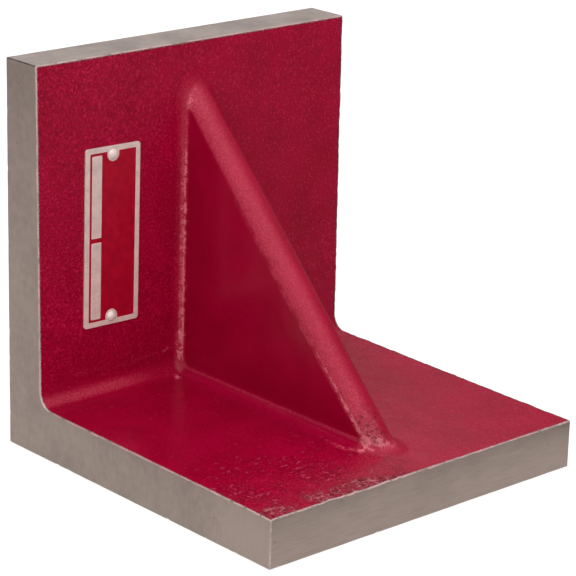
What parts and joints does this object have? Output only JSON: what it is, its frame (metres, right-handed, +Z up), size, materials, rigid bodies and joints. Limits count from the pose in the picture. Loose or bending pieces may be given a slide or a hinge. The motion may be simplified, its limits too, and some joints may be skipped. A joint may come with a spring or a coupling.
{
  "type": "webbed angle plate",
  "caption": "Square angle plate for workholding: ground outside faces, painted cast inside, a sloping web and a small badge.",
  "frame": {"origin": "middle of the underside of the base, on the plane that the plate stands on", "axes": "+Z up, X along the inside corner between the two ground ends, +Y from the base's front edge towards the upright's ground back"},
  "size_m": [0.1524, 0.1524, 0.1524],
  "materials": {
    "casting": "as cast under thick glossy crimson paint inside, ground bare and fine-grained on the six outside faces",
    "badge": "bright rolled sheet, with a field etched down and filled in red",
    "drive_screws": "bright plated, a little dull"
  },
  "bodies": {
    "root": {"casting": "casting", "nameplate": "badge", "drive_screw_top": "drive_screws", "drive_screw_bottom": "drive_screws"}
  },
  "joints": []
}
